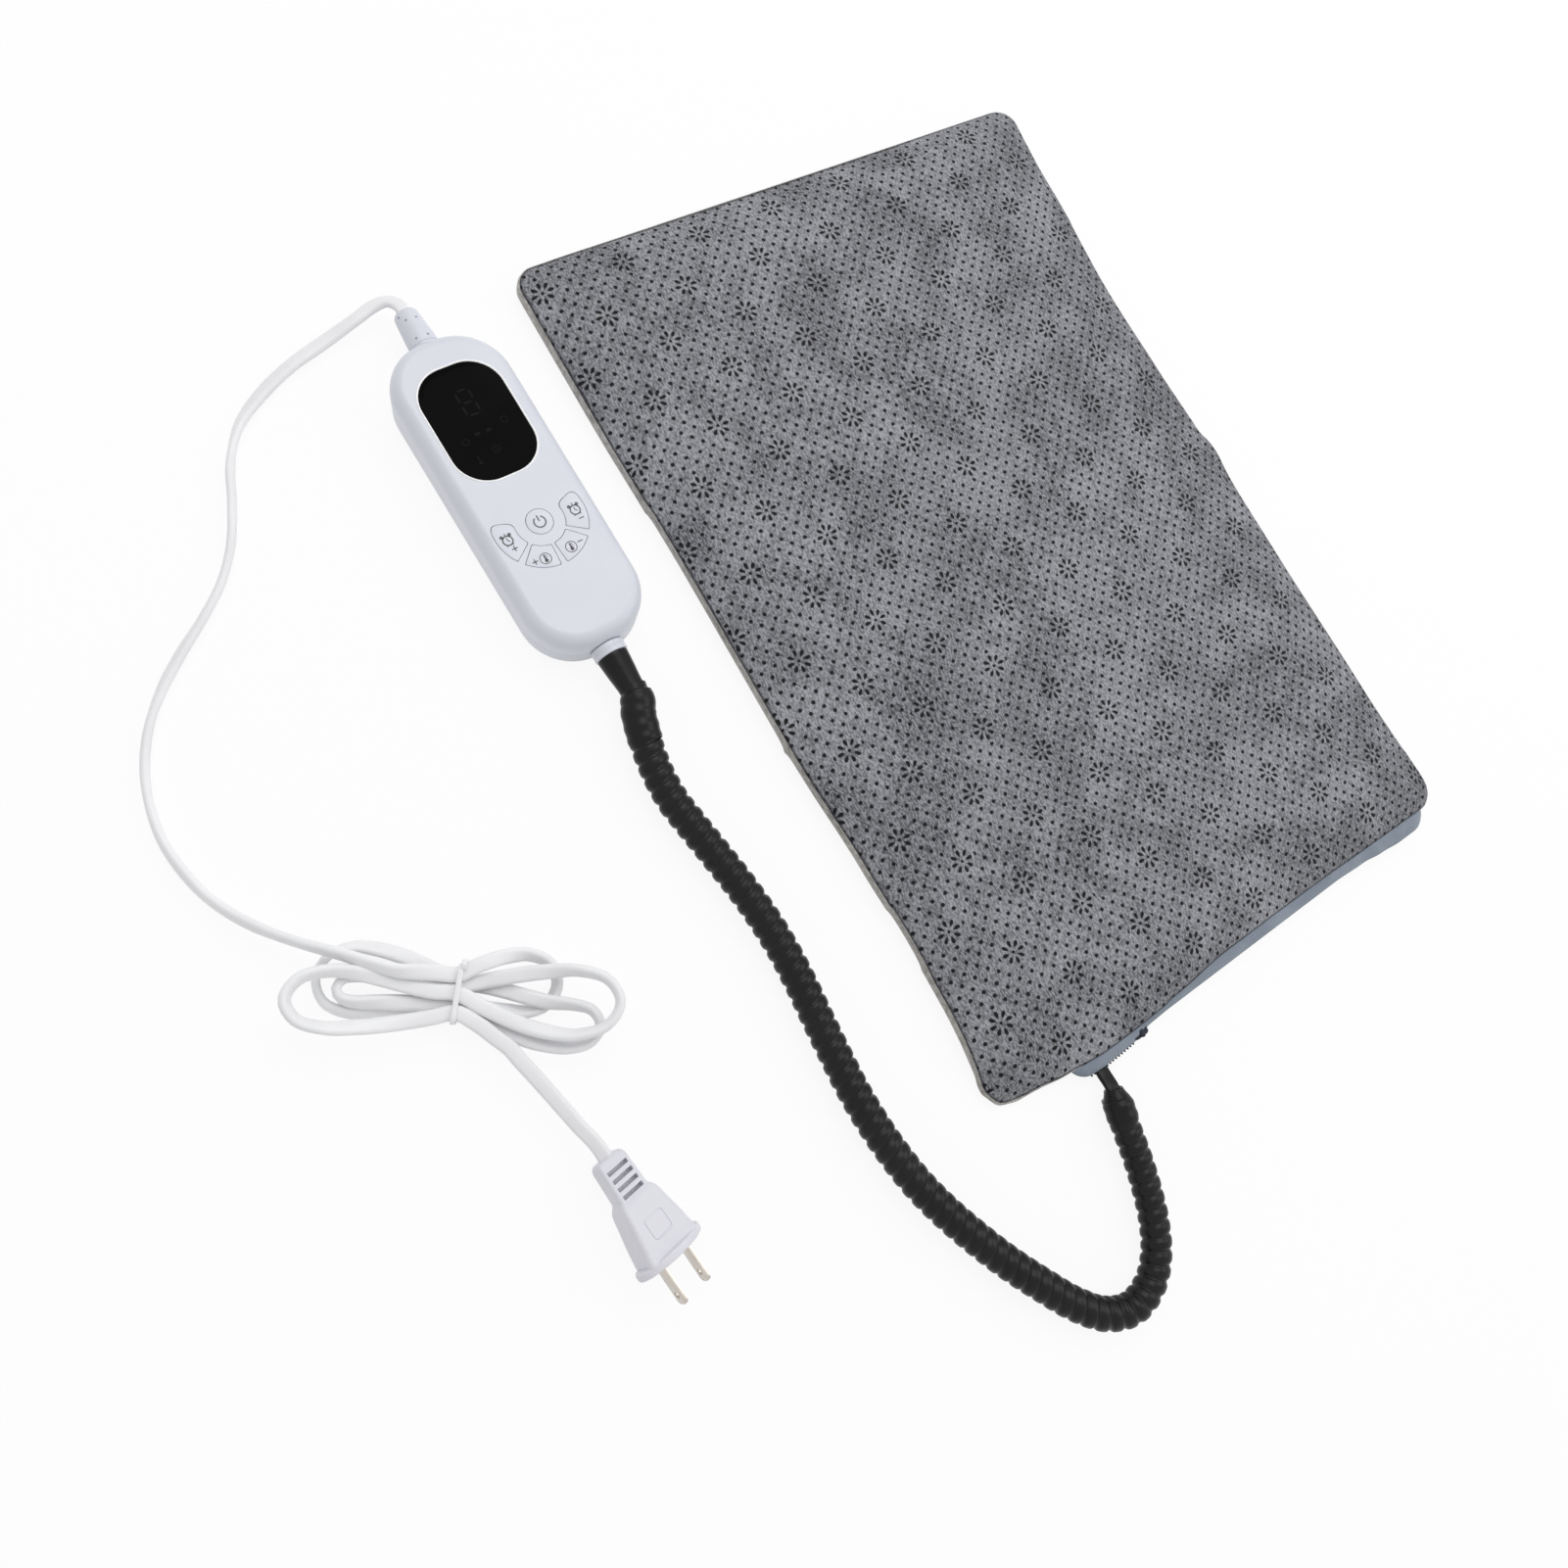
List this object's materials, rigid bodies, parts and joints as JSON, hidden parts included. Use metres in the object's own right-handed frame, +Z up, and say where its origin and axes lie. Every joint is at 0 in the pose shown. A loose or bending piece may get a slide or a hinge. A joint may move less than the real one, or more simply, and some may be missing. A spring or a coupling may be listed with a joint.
{
  "type": "heating pad with controller",
  "caption": "Rectangular heating pad in a zipped printed cover, with a handheld push-button controller, a ribbed lead hose, a tied flat mains cord and a flat-blade plug.",
  "frame": {"origin": "middle of the pad's underside, on the table", "axes": "+Z up out of the pad, +Y along the pad away from its zipped end, +X across the pad away from the controller"},
  "size_m": [0.5525, 0.5583, 0.0244],
  "materials": {
    "felt_print": "marled felt with a dark non-slip print",
    "plush": "light grey plush",
    "wadding": "white wadding and felt",
    "wire_skin": "smooth cream insulation",
    "zip_tape": "woven blue-grey tape",
    "dark_metal": "dark enamel",
    "black_rubber": "satin black",
    "white_shell": "satin white",
    "window_black": "glossy black",
    "board": "green laminate",
    "grey_parts": "grey moulding",
    "steel": "plain steel",
    "white_cord": "smooth white",
    "nickel": "nickel plate"
  },
  "bodies": {
    "pad_and_controller": {"cover_top": "felt_print", "cover_base": "plush", "core_felt": "wadding", "core_wadding": "wadding", "heating_wire": "wire_skin", "thermal_cutout": "grey_parts", "lead_joint": "black_rubber", "zip_tape_upper": "zip_tape", "zip_tape_lower": "zip_tape", "zip_teeth": "zip_tape", "controller_front": "white_shell", "controller_back": "white_shell", "display_window": "window_black", "display_module": "grey_parts", "circuit_board": "board", "mains_capacitor": "grey_parts", "triac": "grey_parts", "supply_capacitor": "grey_parts", "fuse": "steel", "mains_boot": "white_shell", "mains_inner_lead": "white_cord", "hose_collar": "white_shell", "lead_sleeve": "black_rubber", "lead_hose": "black_rubber", "shrink_controller_end": "black_rubber", "shrink_pad_end": "black_rubber", "lead_cable": "black_rubber", "mains_cord_upper": "white_cord", "mains_cord_hank": "white_cord", "mains_cord_lower": "white_cord", "cord_tie": "white_cord", "plug_body": "white_shell", "plug_blade_left": "nickel", "plug_blade_right": "nickel", "switch_power": "grey_parts", "switch_time_plus": "grey_parts", "switch_heat_plus": "grey_parts", "switch_heat_minus": "grey_parts", "switch_time_minus": "grey_parts", "screw_1": "steel", "screw_2": "steel", "screw_3": "steel", "screw_4": "steel"},
    "key_power": {"key_power": "white_shell"},
    "key_time_plus": {"key_time_plus": "white_shell"},
    "key_heat_plus": {"key_heat_plus": "white_shell"},
    "key_heat_minus": {"key_heat_minus": "white_shell"},
    "key_time_minus": {"key_time_minus": "white_shell"},
    "zip_slider": {"zip_slider": "dark_metal"}
  },
  "joints": [
    {"name": "power_press", "type": "slide", "parent": "pad_and_controller", "child": "key_power", "axis": [0, 0, -1], "range_m": [0, 0.0005], "stiffness_N_per_m": 3000},
    {"name": "time_plus_press", "type": "slide", "parent": "pad_and_controller", "child": "key_time_plus", "axis": [0, 0, -1], "range_m": [0, 0.0005], "stiffness_N_per_m": 3000},
    {"name": "heat_plus_press", "type": "slide", "parent": "pad_and_controller", "child": "key_heat_plus", "axis": [0, 0, -1], "range_m": [0, 0.0005], "stiffness_N_per_m": 3000},
    {"name": "heat_minus_press", "type": "slide", "parent": "pad_and_controller", "child": "key_heat_minus", "axis": [0, 0, -1], "range_m": [0, 0.0005], "stiffness_N_per_m": 3000},
    {"name": "time_minus_press", "type": "slide", "parent": "pad_and_controller", "child": "key_time_minus", "axis": [0, 0, -1], "range_m": [0, 0.0005], "stiffness_N_per_m": 3000},
    {"name": "zip_run", "type": "slide", "parent": "pad_and_controller", "child": "zip_slider", "axis": [0.9995, 0.0323, 0], "range_m": [-0.014, 0.17]}
  ]
}
